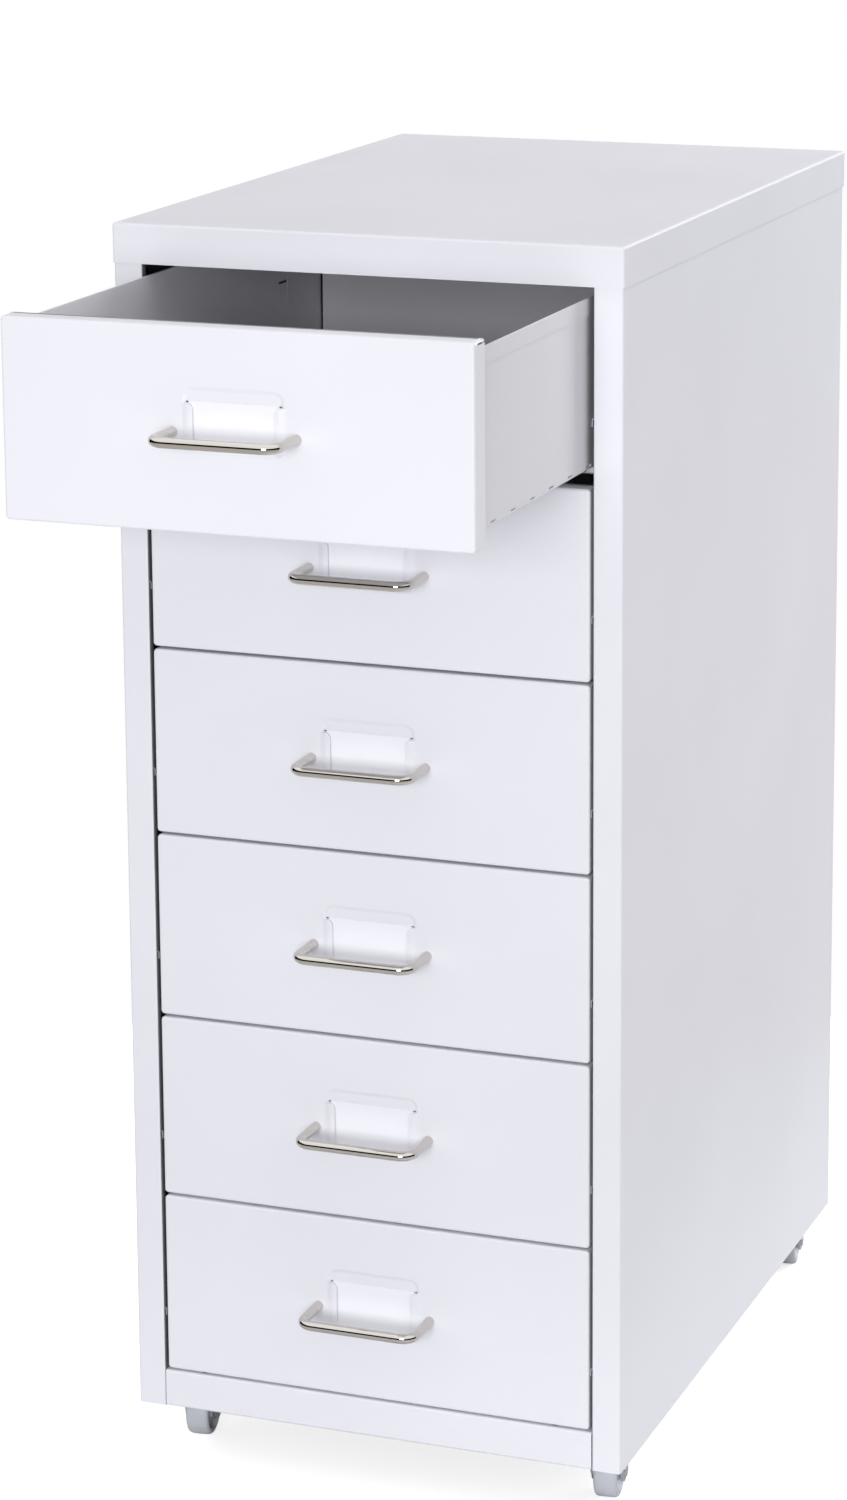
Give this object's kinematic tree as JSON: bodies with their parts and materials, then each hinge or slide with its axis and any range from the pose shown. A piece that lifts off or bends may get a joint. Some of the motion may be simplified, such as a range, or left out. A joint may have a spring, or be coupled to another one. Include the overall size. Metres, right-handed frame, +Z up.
{
  "type": "rolling pedestal cabinet",
  "caption": "Narrow sheet steel drawer pedestal on swivel casters, with sliding drawers, bent wire pulls and pressed label holders.",
  "frame": {"origin": "on the floor, under the middle of the carcass's footprint", "axes": "+X to the cabinet's right as seen from the front, the drawers open towards -Y, +Z up"},
  "size_m": [0.28, 0.6111, 0.69],
  "materials": {
    "white_powder_coat": "semi-matt, very fine orange peel",
    "light_grey_powder_coat": "semi-matt",
    "nickel_wire": "bright nickel plate, slightly warm",
    "zinc_plate": "bright zinc plate",
    "grey_nylon": "moulded, semi-matt",
    "white_nylon": "moulded, semi-matt",
    "black_rubber": "matt",
    "card": null
  },
  "bodies": {
    "carcass": {"top_cover": "white_powder_coat", "left_side_panel": "white_powder_coat", "right_side_panel": "white_powder_coat", "back_panel": "white_powder_coat", "plinth_rail": "white_powder_coat", "base_pan": "white_powder_coat", "left_runners": "zinc_plate", "right_runners": "zinc_plate", "runner_glides": "white_nylon", "rail_buffers": "black_rubber", "front_left_caster_stem": "zinc_plate", "front_right_caster_stem": "zinc_plate", "rear_left_caster_stem": "zinc_plate", "rear_right_caster_stem": "zinc_plate", "caster_nuts": "zinc_plate"},
    "drawer_1": {"drawer_1_front": "white_powder_coat", "drawer_1_tray": "light_grey_powder_coat", "drawer_1_handle": "nickel_wire", "drawer_1_handle_screws": "zinc_plate", "drawer_1_label_card": "card"},
    "drawer_2": {"drawer_2_front": "white_powder_coat", "drawer_2_tray": "light_grey_powder_coat", "drawer_2_handle": "nickel_wire", "drawer_2_handle_screws": "zinc_plate", "drawer_2_label_card": "card"},
    "drawer_3": {"drawer_3_front": "white_powder_coat", "drawer_3_tray": "light_grey_powder_coat", "drawer_3_handle": "nickel_wire", "drawer_3_handle_screws": "zinc_plate", "drawer_3_label_card": "card"},
    "drawer_4": {"drawer_4_front": "white_powder_coat", "drawer_4_tray": "light_grey_powder_coat", "drawer_4_handle": "nickel_wire", "drawer_4_handle_screws": "zinc_plate", "drawer_4_label_card": "card"},
    "drawer_5": {"drawer_5_front": "white_powder_coat", "drawer_5_tray": "light_grey_powder_coat", "drawer_5_handle": "nickel_wire", "drawer_5_handle_screws": "zinc_plate", "drawer_5_label_card": "card"},
    "drawer_6": {"drawer_6_front": "white_powder_coat", "drawer_6_tray": "light_grey_powder_coat", "drawer_6_handle": "nickel_wire", "drawer_6_handle_screws": "zinc_plate", "drawer_6_label_card": "card"},
    "front_left_fork": {"front_left_caster_fork": "zinc_plate", "front_left_caster_axle": "zinc_plate"},
    "front_left_wheel": {"front_left_caster_wheel": "grey_nylon"},
    "front_right_fork": {"front_right_caster_fork": "zinc_plate", "front_right_caster_axle": "zinc_plate"},
    "front_right_wheel": {"front_right_caster_wheel": "grey_nylon"},
    "rear_left_fork": {"rear_left_caster_fork": "zinc_plate", "rear_left_caster_axle": "zinc_plate"},
    "rear_left_wheel": {"rear_left_caster_wheel": "grey_nylon"},
    "rear_right_fork": {"rear_right_caster_fork": "zinc_plate", "rear_right_caster_axle": "zinc_plate"},
    "rear_right_wheel": {"rear_right_caster_wheel": "grey_nylon"}
  },
  "joints": [
    {"name": "drawer_1_slide", "type": "slide", "parent": "carcass", "child": "drawer_1", "axis": [0, -1, 0], "range_m": [-0.167, 0.133]},
    {"name": "drawer_2_slide", "type": "slide", "parent": "carcass", "child": "drawer_2", "axis": [0, -1, 0], "range_m": [0, 0.3]},
    {"name": "drawer_3_slide", "type": "slide", "parent": "carcass", "child": "drawer_3", "axis": [0, -1, 0], "range_m": [0, 0.3]},
    {"name": "drawer_4_slide", "type": "slide", "parent": "carcass", "child": "drawer_4", "axis": [0, -1, 0], "range_m": [0, 0.3]},
    {"name": "drawer_5_slide", "type": "slide", "parent": "carcass", "child": "drawer_5", "axis": [0, -1, 0], "range_m": [0, 0.3]},
    {"name": "drawer_6_slide", "type": "slide", "parent": "carcass", "child": "drawer_6", "axis": [0, -1, 0], "range_m": [0, 0.3]},
    {"name": "front_left_swivel", "type": "hinge", "parent": "carcass", "child": "front_left_fork", "pos_m": [-0.12, -0.1745, 0.0422], "axis": [0, 0, 1], "continuous": true},
    {"name": "front_left_roll", "type": "hinge", "parent": "front_left_fork", "child": "front_left_wheel", "pos_m": [-0.12195, -0.16064, 0.015], "axis": [0.9903, 0.1392, 0], "continuous": true},
    {"name": "front_right_swivel", "type": "hinge", "parent": "carcass", "child": "front_right_fork", "pos_m": [0.12, -0.1745, 0.0422], "axis": [0, 0, 1], "continuous": true},
    {"name": "front_right_roll", "type": "hinge", "parent": "front_right_fork", "child": "front_right_wheel", "pos_m": [0.11805, -0.16064, 0.015], "axis": [0.9903, 0.1392, 0], "continuous": true},
    {"name": "rear_left_swivel", "type": "hinge", "parent": "carcass", "child": "rear_left_fork", "pos_m": [-0.12, 0.1745, 0.0422], "axis": [0, 0, 1], "continuous": true},
    {"name": "rear_left_roll", "type": "hinge", "parent": "rear_left_fork", "child": "rear_left_wheel", "pos_m": [-0.12195, 0.18836, 0.015], "axis": [0.9903, 0.1392, 0], "continuous": true},
    {"name": "rear_right_swivel", "type": "hinge", "parent": "carcass", "child": "rear_right_fork", "pos_m": [0.12, 0.1745, 0.0422], "axis": [0, 0, 1], "continuous": true},
    {"name": "rear_right_roll", "type": "hinge", "parent": "rear_right_fork", "child": "rear_right_wheel", "pos_m": [0.11805, 0.18836, 0.015], "axis": [0.9903, 0.1392, 0], "continuous": true}
  ]
}
